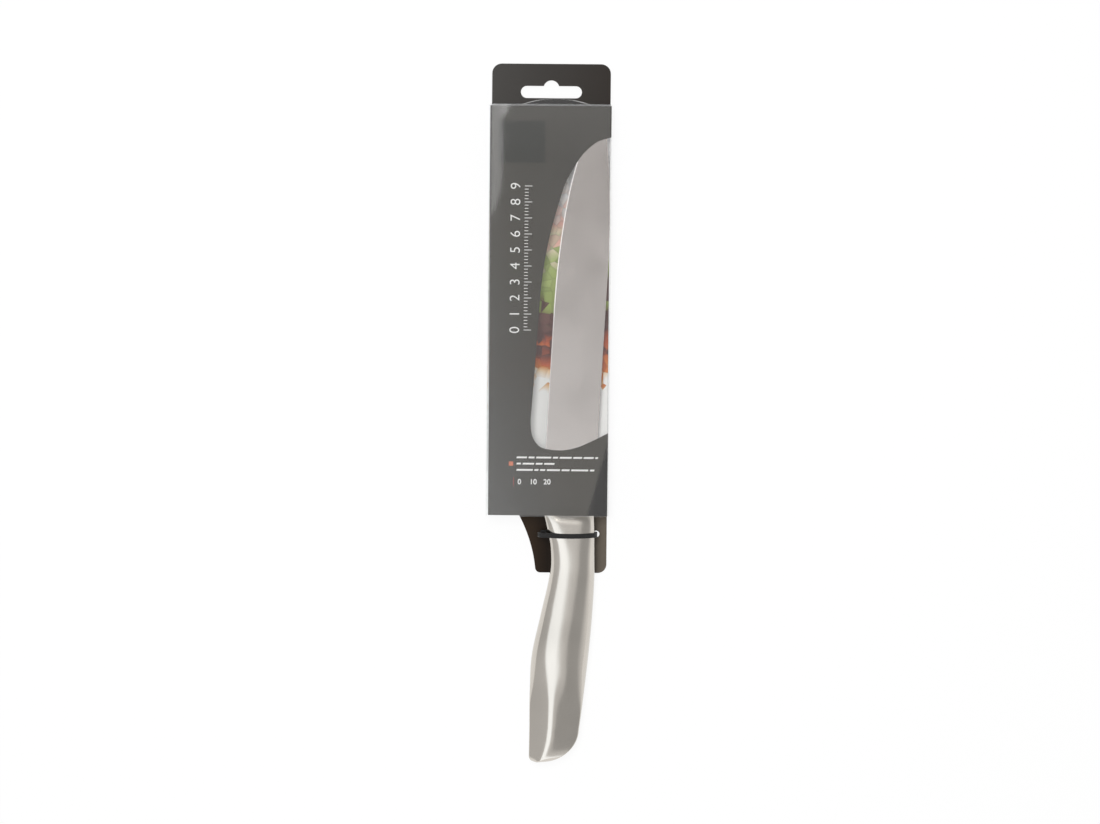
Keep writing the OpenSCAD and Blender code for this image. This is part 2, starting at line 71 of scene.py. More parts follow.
def span(tree, value, start, end, low=0.0, high=1.0):
    """The value, with start to end stretched to low to high and held at both ends."""
    settings = {"Value": value, "From Min": start, "From Max": end, "To Min": low, "To Max": high}
    return node(tree, "ShaderNodeMapRange", settings).outputs["Result"]


def blend(tree, share, first, second):
    """The first colour where share is 0, the second where it is 1."""
    inputs = {"Factor": share, "A": first, "B": second}
    return node(tree, "ShaderNodeMix", inputs, data_type="RGBA").outputs["Result"]


def maths(tree, operation, *terms):
    return node(tree, "ShaderNodeMath", dict(enumerate(terms)), operation=operation).outputs[0]


def coordinate(tree, place, axis):
    return node(tree, "ShaderNodeSeparateXYZ", {"Vector": place}).outputs[axis]


def mix_shaders(tree, share, first, second):
    return node(tree, "ShaderNodeMixShader", {0: share, 1: first, 2: second}).outputs[0]


def new_finish(name):
    made = bpy.data.materials.new(name)
    made.use_nodes = True
    return made, made.node_tree


studio = bpy.context.scene
studio.view_settings.view_transform = "Standard"
tent = bpy.data.worlds.new("tent")
studio.world = tent
tent.use_nodes = True
tree = tent.node_tree
tree.nodes.clear()
direction = node(tree, "ShaderNodeTexCoord").outputs["Generated"]
tent_turn = math.radians(30)
band_way = (math.cos(tent_turn), math.sin(tent_turn), 0)
across = node(
    tree, "ShaderNodeVectorMath", {0: direction, 1: band_way}, operation="DOT_PRODUCT"
).outputs["Value"]
share = span(tree, across, -1.0, 1.0)
left_cloth = [(0.0, 0.375), (0.2275, 0.41), (0.235, (0.92, 0.96, 1.0)), (0.44, (0.91, 0.95, 0.99))]
right_cloth = [(0.585, 0.262), (0.80, 0.28), (0.88, 0.50), (0.93, 0.75), (1.0, 0.60)]
near_cloth = ramp(tree, share, left_cloth + [(0.497, 0.46), (0.5775, 0.425)] + right_cloth)
far_cloth = ramp(tree, share, left_cloth + [(0.50, 0.94), (0.60, 0.72), (0.61, 0.262)] + right_cloth[1:])
upward = coordinate(tree, direction, "Y")
far_from, far_full = 0.12, 0.19
far_share = span(tree, upward, far_from, far_full)
cloth = blend(tree, far_share, near_cloth, far_cloth)
band_strength, far_strength = 1.6, 1.3
fade_from, fade_full = -0.02, 0.26
strength = span(tree, upward, fade_from, fade_full, band_strength, far_strength)
glow = node(tree, "ShaderNodeBackground", {"Color": cloth, "Strength": strength})
fill_strength = 0.42
fill = node(tree, "ShaderNodeBackground", {"Color": (1, 1, 1, 1), "Strength": fill_strength})
white = node(tree, "ShaderNodeBackground", {"Color": (1, 1, 1, 1), "Strength": 1.0})
rays = node(tree, "ShaderNodeLightPath")
lit = mix_shaders(tree, rays.outputs["Is Diffuse Ray"], glow.outputs[0], fill.outputs[0])
seen = mix_shaders(tree, rays.outputs["Is Camera Ray"], lit, white.outputs[0])
node(tree, "ShaderNodeOutputWorld", {"Surface": seen})


def softbox(name, place, size, watts, shape="RECTANGLE"):
    lamp = bpy.data.lights.new(name, "AREA")
    lamp.shape = shape
    lamp.size, lamp.size_y = size
    lamp.energy = watts
    holder = bpy.data.objects.new(name, lamp)
    holder.location = place
    bpy.context.collection.objects.link(holder)
    return holder


softbox("key_softbox", (-0.09, 0.12, 1.45), (0.34, 0.6), 12.4).visible_glossy = False
softbox("long_glint_lamp", (-0.155, 0.322, 1.52), (0.07, 0.16), 0.045, "ELLIPSE")
softbox("corner_glint_lamp", (-0.145, 0.402, 1.52), (0.09, 0.09), 0.055, "ELLIPSE")

camera = bpy.data.objects.new("camera", bpy.data.cameras.new("camera"))
camera.data.lens = 70.6
camera.location = (9.67 * mm, -6.99 * mm, 1110 * mm)
camera.rotation_euler = (math.radians(0.333), math.radians(0.454), math.radians(0.542))
bpy.context.collection.objects.link(camera)
studio.camera = camera

table_half, table_drop = 3.0, 0.05
form = bmesh.new()
bmesh.ops.create_grid(form, x_segments=1, y_segments=1, size=table_half)
bmesh.ops.translate(form, verts=form.verts, vec=(0, 0, -table_drop * mm))
table_mesh = bpy.data.meshes.new("table")
form.to_mesh(table_mesh)
form.free()
table = bpy.data.objects.new("table", table_mesh)
bpy.context.collection.objects.link(table)
table_paint, tree = new_finish("table_paint")
tree.nodes.clear()
paint = node(tree, "ShaderNodeBsdfDiffuse", {"Color": (0.86, 0.86, 0.86, 1)})
backdrop = node(tree, "ShaderNodeEmission", {"Color": (1, 1, 1, 1), "Strength": 1.03})
rays = node(tree, "ShaderNodeLightPath")
looked_at = maths(tree, "ADD", rays.outputs["Is Camera Ray"], rays.outputs["Is Glossy Ray"])
looked_at = node(
    tree, "ShaderNodeMath", {0: looked_at, 1: rays.outputs["Is Transmission Ray"]},
    operation="ADD", use_clamp=True,
).outputs[0]
backdrop_share = 0.85
amount = maths(tree, "MULTIPLY", looked_at, backdrop_share)
mixed = mix_shaders(tree, amount, paint.outputs[0], backdrop.outputs[0])
node(tree, "ShaderNodeOutputMaterial", {"Surface": mixed})
table_mesh.materials.append(table_paint)

# The blade, ground flat from a 2 mm spine down to a narrow bevel, and finished with fine lines
# across its width. Painted shade darkens it towards the tip and a painted highlight brightens the
# bevel. The tang is forged in one piece with it and runs back into the handle.
blade_len = 200
blade_h = 26.3
tip_drop = 6.1
spine_curve_from, edge_curve_from = 127, 100
knife_tilt = math.radians(2.92)
knife_at = Matrix.Translation((23.5318 * mm, -50.2577 * mm, 10.0351 * mm)) @ Matrix.Rotation(
    math.pi / 2 - knife_tilt, 4, "Z"
)


def skin(rows, columns, place):
    """A sheet of len(rows) by len(columns) points, each moved to place(row, column) in millimetres."""
    made = bmesh.new()
    bmesh.ops.create_grid(made, x_segments=len(rows) - 1, y_segments=len(columns) - 1, size=0.5)
    for v in made.verts:
        row = rows[round((v.co.x + 0.5) * (len(rows) - 1))]
        column = columns[round((v.co.y + 0.5) * (len(columns) - 1))]
        v.co = Vector(place(row, column)) * mm
    bmesh.ops.remove_doubles(made, verts=made.verts, dist=0.002 * mm)
    bmesh.ops.dissolve_degenerate(made, edges=made.edges, dist=0.001 * mm)
    return made


def close_ends(made):
    """Closes a skin's open ends and turns its faces outwards."""
    rims = [e for e in made.edges if e.is_boundary]
    if rims:
        bmesh.ops.holes_fill(made, edges=rims, sides=0)
    bmesh.ops.recalc_face_normals(made, faces=made.faces)


def piece(name, made, finish, body, nodes=(), place=None, sharp=30):
    """Turns a form into a piece of the model, riding on its body and standing for its nodes."""
    if place is not None:
        bmesh.ops.transform(made, matrix=place, verts=made.verts)
    mesh = bpy.data.meshes.new(name)
    made.to_mesh(mesh)
    made.free()
    mesh.shade_smooth()
    mesh.set_sharp_from_angle(angle=math.radians(sharp))
    mesh.materials.append(finish)
    made_piece = bpy.data.objects.new(name, mesh)
    bpy.context.collection.objects.link(made_piece)
    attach(made_piece, body)
    if nodes:
        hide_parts(*nodes)
    return made_piece


def own_place(tree):
    return node(tree, "ShaderNodeTexCoord").outputs["Object"]


def noise(tree, place, scale, detail, roughness=0.5, distortion=0.0):
    inputs = {
        "Vector": place, "Scale": scale, "Detail": detail, "Roughness": roughness, "Distortion": distortion,
    }
    return node(tree, "ShaderNodeTexNoise", inputs).outputs["Fac"]


def times(tree, tone, factor):
    """The tone, or the place, with each of its parts multiplied by the factor's."""
    inputs = {0: tone, 1: factor}
    return node(tree, "ShaderNodeVectorMath", inputs, operation="MULTIPLY").outputs["Vector"]


def relief(tree, height, strength, distance=0.02):
    inputs = {"Height": height, "Strength": strength, "Distance": distance * mm}
    return node(tree, "ShaderNodeBump", inputs).outputs[0]


def flatness(tree):
    """1 on a face that lies level and 0 on one that stands upright."""
    facing = node(tree, "ShaderNodeNewGeometry").outputs["True Normal"]
    return maths(tree, "ABSOLUTE", coordinate(tree, facing, "Z"))


def steel(name, tint, roughness, line_scale, bump):
    """Stainless steel with polishing lines that change its roughness and its surface a little."""
    finish, tree = new_finish(name)
    shader = tree.nodes["Principled BSDF"]
    shader.inputs["Metallic"].default_value = 1.0
    place = own_place(tree)
    along_knife = {"Vector": place, "Rotation": (0, 0, knife_tilt), "Scale": line_scale}
    turned = node(tree, "ShaderNodeMapping", along_knife).outputs[0]
    lines = noise(tree, turned, 1.0, 3.0, roughness=0.6)
    clouds = noise(tree, place, 38.0, 2.0)
    wear = maths(tree, "MULTIPLY", lines, clouds)
    spread = span(tree, wear, 0.15, 0.35, roughness * 0.8, roughness * 1.25)
    tree.links.new(spread, shader.inputs["Roughness"])
    low = tuple(c * 0.94 for c in tint)
    colour = ramp(tree, clouds, [(0.35, low), (0.65, tint)])
    tree.links.new(colour, shader.inputs["Base Color"])
    tree.links.new(relief(tree, lines, bump), shader.inputs["Normal"])
    return finish


def spine_side(u):
    if u <= spine_curve_from:
        return 0.0
    return tip_drop * ((u - spine_curve_from) / (blade_len - spine_curve_from)) ** 1.9


def edge_side(u):
    if u <= edge_curve_from:
        return blade_h
    share = (u - edge_curve_from) / (blade_len - edge_curve_from)
    return tip_drop + (blade_h - tip_drop) * math.sqrt(max(1 - share**2, 0))


spine_round = 0.12
bevel_w = 0.5
spine_half, edge_half, tip_half = 1.0, 0.2, 0.05
spine_taper = 0.35
point_fade = 8
last_turn = 88.8
curve_len = blade_len - edge_curve_from
straight_steps = [edge_curve_from * k / 25 for k in range(25)]
curved_steps = [
    edge_curve_from + curve_len * math.sin(math.radians(last_turn * k / 60)) for k in range(61)
]


def blade_section(u, k):
    """Point k round the blade's section at u: from the spine along one face to the edge, and back."""
    low, high = spine_side(u), edge_side(u)
    thin = min(1.0, (high - low) / point_fade)
    back = spine_half * (1 - spine_taper * u / blade_len) * thin
    front, tip = edge_half * thin, tip_half * thin
    rounding = spine_round * thin
    half = [
        (low, 0), (low, back - rounding), (low + rounding * 0.3, back - rounding * 0.3),
        (low + rounding, back), (high - bevel_w * thin, front), (high, tip), (high, 0),
    ]
    v, w = half[k] if k < len(half) else half[2 * len(half) - 2 - k]
    return (u, v, w if k < len(half) else -w)


blade_form = skin(straight_steps + curved_steps, list(range(12, -1, -1)), blade_section)
close_ends(blade_form)
tang_len, tang_h, tang_t = 80, 12, 1.8
tang_middle = 12
tang = bmesh.ops.create_cube(blade_form, size=1.0)["verts"]
bmesh.ops.scale(blade_form, vec=(tang_len * mm, tang_h * mm, tang_t * mm), verts=tang)
bmesh.ops.translate(blade_form, vec=(-tang_len / 2 * mm, tang_middle * mm, 0), verts=tang)
blade_steel = steel("blade_steel", (0.545, 0.495, 0.468), 0.18, (90, 5200, 90), 0.06)
tree = blade_steel.node_tree
shader = tree.nodes["Principled BSDF"]
polish = shader.inputs["Base Color"].links[0].from_socket
place = own_place(tree)
height = coordinate(tree, place, "Y")
reach_end = 0.14
reach = span(tree, height, 0.0, reach_end)
# Painted shade: the steel's colour is darkened step by step towards the tip.
painted_light = ramp(tree, reach, [(0.0, 0.96), (0.30, 0.94), (0.62, 0.88), (0.78, 0.76), (1.0, 0.62)])
bevel_from, bevel_full = 0.985, 0.97
bevelled = span(tree, flatness(tree), bevel_from, bevel_full)
# Painted highlight: the bevel's colour is brightened up to 1.6 times towards the tip.
painted_bevel_highlight = ramp(tree, reach, [(0.30, 1.0), (0.42, 1.6)])
painted_light = blend(tree, bevelled, painted_light, painted_bevel_highlight)
tree.links.new(times(tree, polish, painted_light), shader.inputs["Base Color"])
piece("ground_blade", blade_form, blade_steel, "knife", ["blade"], knife_at, sharp=9)

# The handle: a hollow shell of satin steel. Two pressed halves are welded along the sides, a solid
# neck carries the blade, and a solid end closes the oblique butt. Its section follows these rows:
# distance behind the heel, middle, half width, half thickness and roundness, in millimetres.
handle_rows = [
    (0, 13.15, 13.15, 2.4, 6), (2, 12.723, 12.975, 4.704, 5.2), (5, 12.1125, 12.7125, 6.1005, 4.6),
    (10, 11.175, 12.275, 6.7473, 3.8), (20, 9.6, 11.4, 7.35, 2.8), (33, 8.85, 11.4, 7.75, 2.5),
    (54.5, 10.525, 13.1, 8.875, 2.3), (76, 12.6, 14.4, 10, 2.2), (94, 13.1, 13.775, 9.75, 2.2),
    (112, 13.3, 12.65, 9.3, 2.2),
]
butt_start = 112
butt_len = 17.5
butt_peak = 21.2
butt_corner = 3
butt_low, butt_high = 0.65, 25.95
butt_fall = 0.6
butt_half_t = 9.3


def handle_size(d, column):
    """The handle's size in one column, on a smooth curve through the rows."""
    i = max(k for k in range(len(handle_rows) - 1) if k == 0 or d >= handle_rows[k][0])

    def slope(k):
        a, b = handle_rows[max(k - 1, 0)], handle_rows[min(k + 1, len(handle_rows) - 1)]
        return (b[column] - a[column]) / (b[0] - a[0])

    a, b = handle_rows[i], handle_rows[i + 1]
    h = b[0] - a[0]
    t = (d - a[0]) / h
    return (
        (2 * t**3 - 3 * t**2 + 1) * a[column] + (t**3 - 2 * t**2 + t) * h * slope(i)
        + (3 * t**2 - 2 * t**3) * b[column] + (t**3 - t**2) * h * slope(i + 1)
    )


def handle_sides(d):
    """The spine side, the edge side and the half thickness at distance d behind the heel."""
    if d <= butt_start:
        middle, half = handle_size(d, 1), handle_size(d, 2)
        return middle - half, middle + half, handle_size(d, 3)
    s = (d - butt_start) / butt_len
    corner_at = butt_start + butt_len - butt_corner
    corner_top = butt_high - butt_fall
    low = butt_peak - (butt_peak - butt_low) * math.sqrt(max(1 - s * s, 0))
    if d <= corner_at:
        high = butt_high - butt_fall * (d - butt_start) / (corner_at - butt_start)
    else:
        high = corner_top - butt_corner + math.sqrt(max(butt_corner**2 - (d - corner_at) ** 2, 0))
    return low, high, butt_half_t * max(1 - s**6, 0) ** (1 / 6)


ridge_at, ridge_round = 0.16, 0.16
ridge_peak = 0.85
ridge_top = 0.75387
edge_fall, spine_fall = 0.6, 0.32
flat_from, flat_fade = 78, 28


def ridge(q):
    """Height of the flattened faces and the ridge between them, q from the spine side to the edge side."""

    def fall(x):
        return (x + math.hypot(x, ridge_round)) / 2

    side = max(1 - abs(q) ** 4, 0) ** 0.25
    face = ridge_peak - edge_fall * fall(q - ridge_at) - spine_fall * fall(ridge_at - q)
    return side * face / (side**6 + face**6) ** (1 / 6) / ridge_top


def handle_point(d, angle):
    """The point at this angle on the handle's skin, which turns from round to ridged towards the butt."""
    low, high, half_t = handle_sides(d)
    power = handle_size(min(d, butt_start), 4)
    c, s = math.cos(math.radians(angle)), math.sin(math.radians(angle))
    q = math.copysign(abs(c) ** (2 / power), c)
    t = max(0.0, min(1.0, (d - flat_from) / flat_fade))
    flattened = t * t * (3 - 2 * t)
    rise = (1 - flattened) * max(1 - abs(q) ** power, 0) ** (1 / power) + flattened * ridge(q)
    if abs(s) < 1e-6:
        rise = 0.0
    return (-d, (low + high) / 2 + (high - low) / 2 * q, math.copysign(half_t * rise, s))


def steps(start, end, count):
    return [start + (end - start) * k / count for k in range(count + 1)]


handle_steel = steel("handle_steel", (0.64, 0.60, 0.545), 0.15, (2400, 50, 2400), 0.12)
neck_len, shell_end = 20, 118
round_steps = 96
neck_steps = [neck_len * (k / 48) ** 1.6 for k in range(49)]
neck_form = skin(neck_steps, steps(0, 360, round_steps), handle_point)
close_ends(neck_form)
piece("solid_neck", neck_form, handle_steel, "knife", ["bolster"], knife_at)
shell_wall = 1.0
shells = (("shell_front", 0, "handle_front_shell"), ("shell_back", 180, "handle_back_shell"))
for name, first, node_name in shells:
    half_round = steps(first, first + 180, round_steps // 2)
    half_form = skin(steps(neck_len, shell_end, 140), half_round, handle_point)
    bmesh.ops.solidify(half_form, geom=half_form.faces[:], thickness=shell_wall * mm)
    piece(name, half_form, handle_steel, "knife", [node_name], knife_at, sharp=50)
butt_turn = math.degrees(math.asin((shell_end - butt_start) / butt_len))
butt_steps = [butt_start + butt_len * math.sin(math.radians(a)) for a in steps(butt_turn, 88.5, 36)]
butt_form = skin(butt_steps, steps(0, 360, round_steps), handle_point)
close_ends(butt_form)
piece("butt_end", butt_form, handle_steel, "knife", ["butt_cap"], knife_at, sharp=50)

# The resin that fills the handle round the tang, poured in before the butt is closed. It is sealed
# in, and only shows in a section through the handle.
resin, tree = new_finish("filler_resin")
shader = tree.nodes["Principled BSDF"]
shader.inputs["Roughness"].default_value = 0.6
place = own_place(tree)
grains = noise(tree, place, 900.0, 4.0)
resin_tone = ramp(tree, grains, [(0.35, (0.20, 0.19, 0.17)), (0.7, (0.34, 0.32, 0.29))])
tree.links.new(resin_tone, shader.inputs["Base Color"])


def finish_node(node_name, finish):
    """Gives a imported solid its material."""
    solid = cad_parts[node_name]
    if solid.material_slots:
        for held in solid.material_slots:
            held.link = "OBJECT"
            held.material = finish
    else:
        solid.data.materials.append(finish)


finish_node("tang_filler", resin)

# The backing card: black coated board, punched with its hang slot and the tie's two holes. The cut
# edges show the grey-brown board under the black. The face is a little cloudy from handling. The
# header is greyer, and painted shade darkens it from left to right. The foot is browner, with painted
# shade beside the handle and painted light on its right strip.
card_finish, tree = new_finish("black_card")
shader = tree.nodes["Principled BSDF"]
place = own_place(tree)
clouds = noise(tree, place, 24.0, 3.0)
fibres = noise(tree, place, 2200.0, 3.0)
across = coordinate(tree, place, "X")
card_half, foot_left = 0.0305, -0.012
# Painted shade: the header's colour darkens from its left edge to its right edge.
header_share = span(tree, across, -card_half, card_half)
header_painted_shade = ramp(tree, header_share, [(0.0, (0.070, 0.066, 0.062)), (1.0, (0.038, 0.032, 0.028))])
# Painted shade darkens the foot just left of the handle, and painted light brightens its right strip.
foot_share = span(tree, across, foot_left, card_half)
foot_painted_light = ramp(
    tree, foot_share,
    [
        (0.08, (0.030, 0.018, 0.010)), (0.28, (0.011, 0.006, 0.003)),
        (0.8, (0.040, 0.033, 0.026)), (0.95, (0.150, 0.126, 0.100)),
    ],
)
foot_from, foot_full = -0.045, -0.052
low = span(tree, coordinate(tree, place, "Y"), foot_from, foot_full)
tone = blend(tree, low, header_painted_shade, foot_painted_light)
mottle = ramp(tree, clouds, [(0.3, 0.85), (0.7, 1.0)])
face = times(tree, tone, mottle)
core = ramp(tree, fibres, [(0.3, (0.13, 0.11, 0.09)), (0.7, (0.24, 0.21, 0.18))])
coated = maths(tree, "GREATER_THAN", flatness(tree), 0.5)
tree.links.new(blend(tree, coated, core, face), shader.inputs["Base Color"])
tree.links.new(span(tree, clouds, 0.3, 0.7, 0.38, 0.5), shader.inputs["Roughness"])
tree.links.new(relief(tree, fibres, 0.15), shader.inputs["Normal"])
shader.inputs["Specular IOR Level"].default_value = 0.15
finish_node("backing_card", card_finish)

# The printed insert behind the blade: thin coated paper, glued on the card, with a plain mosaic of
# pebble shapes in warm and green tones that runs out to white near its foot, and a dark corner there.
insert_finish, tree = new_finish("printed_paper")
shader = tree.nodes["Principled BSDF"]
shader.inputs["Roughness"].default_value = 0.45
place = own_place(tree)
wave = noise(tree, place, 26.0, 2.0, distortion=0.6)
height = coordinate(tree, place, "Y")
insert_low, insert_high = -0.055, 0.155
wave_shift, pebble_shift = 0.04, 0.04
pebble_scale = 210.0
level = span(tree, height, insert_low, insert_high)
shift = span(tree, wave, 0.3, 0.7, -wave_shift, wave_shift)
wash = maths(tree, "ADD", level, shift)
pebbles = node(tree, "ShaderNodeTexVoronoi", {"Vector": place, "Scale": pebble_scale}).outputs["Color"]
pebble = node(tree, "ShaderNodeSeparateColor", {"Color": pebbles})
jump = span(tree, pebble.outputs["Red"], 0.0, 1.0, -pebble_shift, pebble_shift)
wash = maths(tree, "ADD", wash, jump)
bands = ramp(
    tree, wash,
    [
        (0.0, (0.95, 0.94, 0.93)), (0.315, (0.95, 0.94, 0.92)), (0.335, (0.88, 0.60, 0.34)),
        (0.355, (0.72, 0.24, 0.07)), (0.40, (0.55, 0.12, 0.05)), (0.425, (0.11, 0.05, 0.045)),
        (0.52, (0.15, 0.07, 0.06)), (0.545, (0.34, 0.42, 0.12)), (0.62, (0.48, 0.56, 0.22)),
        (0.645, (0.85, 0.76, 0.56)), (0.70, (0.88, 0.52, 0.44)), (0.76, (0.92, 0.74, 0.68)),
        (0.81, (0.92, 0.91, 0.90)), (1.0, (0.90, 0.89, 0.91)),
    ],
)
gap = node(
    tree, "ShaderNodeTexVoronoi", {"Vector": place, "Scale": pebble_scale}, feature="DISTANCE_TO_EDGE"
).outputs["Distance"]
seam = span(tree, gap, 0.0, 0.10, 0.82, 1.0)
depth = span(tree, pebble.outputs["Green"], 0.0, 1.0, 0.82, 1.1)
shading = maths(tree, "MULTIPLY", seam, depth)
coloured = span(tree, wash, 0.31, 0.34)
shading = node(
    tree, "ShaderNodeMix", {"Factor": coloured, "A": 1.0, "B": shading}, data_type="FLOAT"
).outputs["Result"]
bands = times(tree, bands, shading)
insert_slope = -0.2545
corner_from, corner_full = 0.0361, 0.0367
slant = maths(tree, "MULTIPLY_ADD", height, insert_slope, coordinate(tree, place, "X"))
corner = span(tree, slant, corner_from, corner_full)
dark = (0.03, 0.025, 0.022, 1)
printed = blend(tree, corner, bands, dark)
tree.links.new(printed, shader.inputs["Base Color"])
finish_node("picture_insert", insert_finish)

# The tie: a strap of black nylon round the neck, moulded with a raised rim along each edge and fine
# teeth between them, and its square head, seated on the card at the left hole.
nylon, tree = new_finish("black_nylon")
shader = tree.nodes["Principled BSDF"]
place = own_place(tree)
speckle = noise(tree, place, 3000.0, 2.0)
nylon_tone = ramp(tree, speckle, [(0.3, (0.008, 0.008, 0.008)), (0.7, (0.018, 0.017, 0.016))])
tree.links.new(nylon_tone, shader.inputs["Base Color"])
tree.links.new(span(tree, speckle, 0.0, 1.0, 0.28, 0.48), shader.inputs["Roughness"])
shader.inputs["Specular IOR Level"].default_value = 0.3
tree.links.new(relief(tree, speckle, 0.2), shader.inputs["Normal"])

tie_y = -63.0411
tie_left, tie_right = -4.3202, 25.0942
tie_hole = -1.8202
tie_top = 18.0523
card_top = 1.7
knife_z = 10.0351
strap_t, strap_w = 1.0, 2.4
rim_bevel, rim_in, floor_half = 0.12, 0.78, 0.68
floor_depth, tooth_depth = 0.16, 0.08
tie_sag = 0.5
left_turn, right_turn, foot_turn = 11, 7, 0.8
foot_z = 1.4


def arc(cx, cz, rx, rz, start, end, count):
    return [
        (cx + rx * math.cos(math.radians(a)), cz + rz * math.sin(math.radians(a)))
        for a in steps(start, end, count)
    ]


shoulder = knife_z + 1.5
loop = (
    [(tie_hole, card_top), (tie_hole, 6.1), (tie_left + 1.5, knife_z - 3), (tie_left, knife_z - 1.3)]
    + arc(tie_left + left_turn, shoulder, left_turn, tie_top - shoulder, 180, 90, 14)
    + arc(tie_right - right_turn, shoulder, right_turn, tie_top - shoulder, 90, 0, 12)
    + [(tie_right, card_top)]
    + arc(tie_right - foot_turn, foot_z, foot_turn, foot_turn, 0, -90, 5)
    + arc(tie_hole + foot_turn, foot_z, foot_turn, foot_turn, -90, -180, 5)
)
loop_len = [0.0]
for a, b in zip(loop, loop[1:] + loop[:1]):
    loop_len.append(loop_len[-1] + math.dist(a, b))
tooth = 0.8


def on_loop(s):
    """The point and the outward direction at length s along the strap's middle line."""
    s %= loop_len[-1]
    i = max(k for k in range(len(loop)) if loop_len[k] <= s)
    a, b = Vector(loop[i]), Vector(loop[(i + 1) % len(loop)])
    t = (s - loop_len[i]) / (loop_len[i + 1] - loop_len[i])

    def along(k):
        return (Vector(loop[(k + 1) % len(loop)]) - Vector(loop[k - 1])).normalized()

    way = along(i).lerp(along((i + 1) % len(loop)), t).normalized()
    return a.lerp(b, t), Vector((-way.y, way.x))


def strap_section(s, k):
    """One point of the strap: a flat band with raised rims and shallow teeth on its outer side."""
    middle, out = on_loop(s)
    recess = floor_depth + tooth_depth * math.cos(2 * math.pi * s / tooth)
    side, face = strap_w / 2, strap_t / 2
    outline = [
        (-side, -face), (-side, face - rim_bevel), (rim_bevel - side, face), (-rim_in, face),
        (-floor_half, face - recess), (floor_half, face - recess), (rim_in, face),
        (side - rim_bevel, face), (side, face - rim_bevel), (side, -face), (-side, -face),
    ]
    y, z = outline[k]
    middle = middle + out * z
    over = max(0.0, min(1.0, (middle.x - tie_left) / (tie_right - tie_left)))
    sag = tie_sag * math.sin(math.pi * over) if middle.y > knife_z else 0.0
    return (middle.x, tie_y - sag + y, middle.y)


strap_steps = steps(0, loop_len[-1], round(loop_len[-1] / tooth * 6))
strap_form = skin(strap_steps, list(range(11)), strap_section)
bmesh.ops.recalc_face_normals(strap_form, faces=strap_form.faces)
piece("tie_band", strap_form, nylon, "card", ["tie_strap"], sharp=35)

head_w, head_l, head_h = 3.2, 4.0, 4.2
head_round, head_wall, head_hollow = 0.35, 0.55, 0.8
head_form = bmesh.new()
block = bmesh.ops.create_cube(head_form, size=1.0)["verts"]
bmesh.ops.scale(head_form, vec=(head_w * mm, head_l * mm, head_h * mm), verts=block)
bmesh.ops.bevel(
    head_form, geom=head_form.edges[:], offset=head_round * mm, segments=3, profile=0.5,
    affect="EDGES", material=-1,
)
top = max(head_form.faces, key=lambda f: f.calc_center_median().z + f.calc_area())
bmesh.ops.inset_individual(head_form, faces=[top], thickness=head_wall * mm, use_even_offset=True)
hollow = bmesh.ops.extrude_discrete_faces(head_form, faces=[top])["faces"]
bmesh.ops.translate(head_form, vec=(0, 0, -head_hollow * mm), verts=hollow[0].verts)
head_at = (tie_hole * mm, tie_y * mm, (card_top + head_h / 2) * mm)
bmesh.ops.translate(head_form, vec=head_at, verts=head_form.verts)
piece("tie_block", head_form, nylon, "card", ["tie_head"], sharp=35)

# The sleeve: one sheet of clear plastic, folded round the blade and glued along the left of its
# back. Its front ends in a thumb lip, and the sheet bows a little between its creases. It mirrors
# alike on both of its faces, so it stays clear at a slant.
clear, tree = new_finish("clear_plastic")
tree.nodes.clear()
place = own_place(tree)
waves = noise(tree, place, 22.0, 1.0)
ripple = relief(tree, waves, 0.15, distance=0.5)
mirror = node(tree, "ShaderNodeBsdfGlossy", {"Color": (1, 1, 1, 1), "Roughness": 0.04, "Normal": ripple})
through = node(tree, "ShaderNodeBsdfTransparent", {"Color": (0.99, 0.992, 0.99, 1)})
back = node(tree, "ShaderNodeNewGeometry").outputs["Backfacing"]
index = span(tree, back, 0.0, 1.0, 1.5, 1 / 1.5)
fresnel = node(tree, "ShaderNodeFresnel", {"IOR": index, "Normal": ripple})
sheet = mix_shaders(tree, fresnel.outputs[0], through.outputs[0], mirror.outputs[0])
node(tree, "ShaderNodeOutputMaterial", {"Surface": sheet})

sleeve_half, sleeve_d = 31.1, 20.0351
sleeve_low, sleeve_high = -53.6577, 154.893
sheet_t = 0.3
crease_r = 0.5
lip_middle, lip_w, lip_h = 7.88, 17, 1.3
front_bow = 0.35


def crease(cx, cz, start):
    return arc(cx, cz, crease_r, crease_r, start, start + 90, 4)


right, left = sleeve_half - crease_r, -sleeve_half + crease_r
near, far = sleeve_d - crease_r, crease_r
wrap = (
    crease(right, near, 0) + [(x, sleeve_d) for x in steps(right, left, 62)[1:-1]]
    + crease(left, near, 90) + [(-sleeve_half, z) for z in steps(near, far, 6)[1:-1]]
    + crease(left, far, 180) + [(x, 0.0) for x in steps(left, right, 12)[1:-1]]
    + crease(right, far, 270) + [(sleeve_half, z) for z in steps(far, near, 6)[1:]]
)


def sleeve_point(s, k):
    x, z = wrap[k]
    low = sleeve_low
    on_front = z > sleeve_d - 0.01
    if on_front and abs(x - lip_middle) < lip_w / 2:
        radius = (lip_w**2 / 4 + lip_h**2) / (2 * lip_h)
        low -= lip_h - radius + math.sqrt(radius**2 - (x - lip_middle) ** 2)
    if on_front:
        z += front_bow * (1 - (x / right) ** 2)
    return (x, low + (sleeve_high - low) * s, z)


wrap_form = skin(steps(0, 1, 52), list(range(len(wrap))), sleeve_point)
bmesh.ops.solidify(wrap_form, geom=wrap_form.faces[:], thickness=sheet_t * mm)
piece(
    "folded_sleeve", wrap_form, clear, "sleeve",
    ["front_panel", "back_panel", "left_panel", "right_panel"], sharp=40,
)
finish_node("glue_flap", clear)

